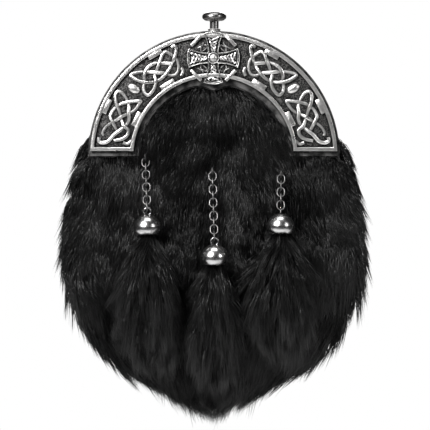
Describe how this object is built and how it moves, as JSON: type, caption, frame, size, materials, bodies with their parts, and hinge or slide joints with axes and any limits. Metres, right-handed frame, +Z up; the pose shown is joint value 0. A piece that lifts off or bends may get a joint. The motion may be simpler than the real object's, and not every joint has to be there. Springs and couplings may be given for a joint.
{
  "type": "sporran pouch",
  "caption": "Dress sporran pouch: cast metal cantle with cross and knotwork over a fur-fronted leather pouch with chain-hung fur tassels and a push-button knob.",
  "frame": {"origin": "rear face of the leather back, midway between the two strap loops", "axes": "+Z up, the front with the cantle and the fur faces -Y, +X to the right seen from the front"},
  "size_m": [0.2, 0.0685, 0.2521],
  "materials": {
    "relief_silver": "antique silver, bright on raised parts, blackened in the recesses",
    "polished_silver": "polished antique silver, slightly smoky",
    "chain_silver": "dulled silver wire",
    "black_leather": "black grained leather, soft sheen",
    "black_fur": "black rabbit fur with a soft gloss"
  },
  "bodies": {
    "sporran": {"cantle": "relief_silver", "back_frame": "polished_silver", "back_panel": "black_leather", "front_panel": "black_leather", "gusset": "black_leather", "strap_loop_left": "black_leather", "strap_loop_right": "black_leather", "fur_front": "black_fur", "chain_eye_left": "chain_silver", "chain_eye_middle": "chain_silver", "chain_eye_right": "chain_silver", "link_left_1": "chain_silver", "link_left_2": "chain_silver", "link_left_3": "chain_silver", "link_left_4": "chain_silver", "link_left_5": "chain_silver", "link_left_6": "chain_silver", "link_left_7": "chain_silver", "link_left_8": "chain_silver", "link_middle_1": "chain_silver", "link_middle_2": "chain_silver", "link_middle_3": "chain_silver", "link_middle_4": "chain_silver", "link_middle_5": "chain_silver", "link_middle_6": "chain_silver", "link_middle_7": "chain_silver", "link_middle_8": "chain_silver", "link_middle_9": "chain_silver", "link_middle_10": "chain_silver", "link_right_1": "chain_silver", "link_right_2": "chain_silver", "link_right_3": "chain_silver", "link_right_4": "chain_silver", "link_right_5": "chain_silver", "tassel_cap_left": "polished_silver", "tassel_cap_middle": "polished_silver", "tassel_cap_right": "polished_silver", "tassel_fur_left": "black_fur", "tassel_fur_middle": "black_fur", "tassel_fur_right": "black_fur"},
    "knob": {"knob": "polished_silver"}
  },
  "joints": [
    {"name": "knob_press", "type": "slide", "parent": "sporran", "child": "knob", "axis": [0, 0, -1], "range_m": [0, 0.004], "stiffness_N_per_m": 400, "springref_m": -0.001}
  ]
}
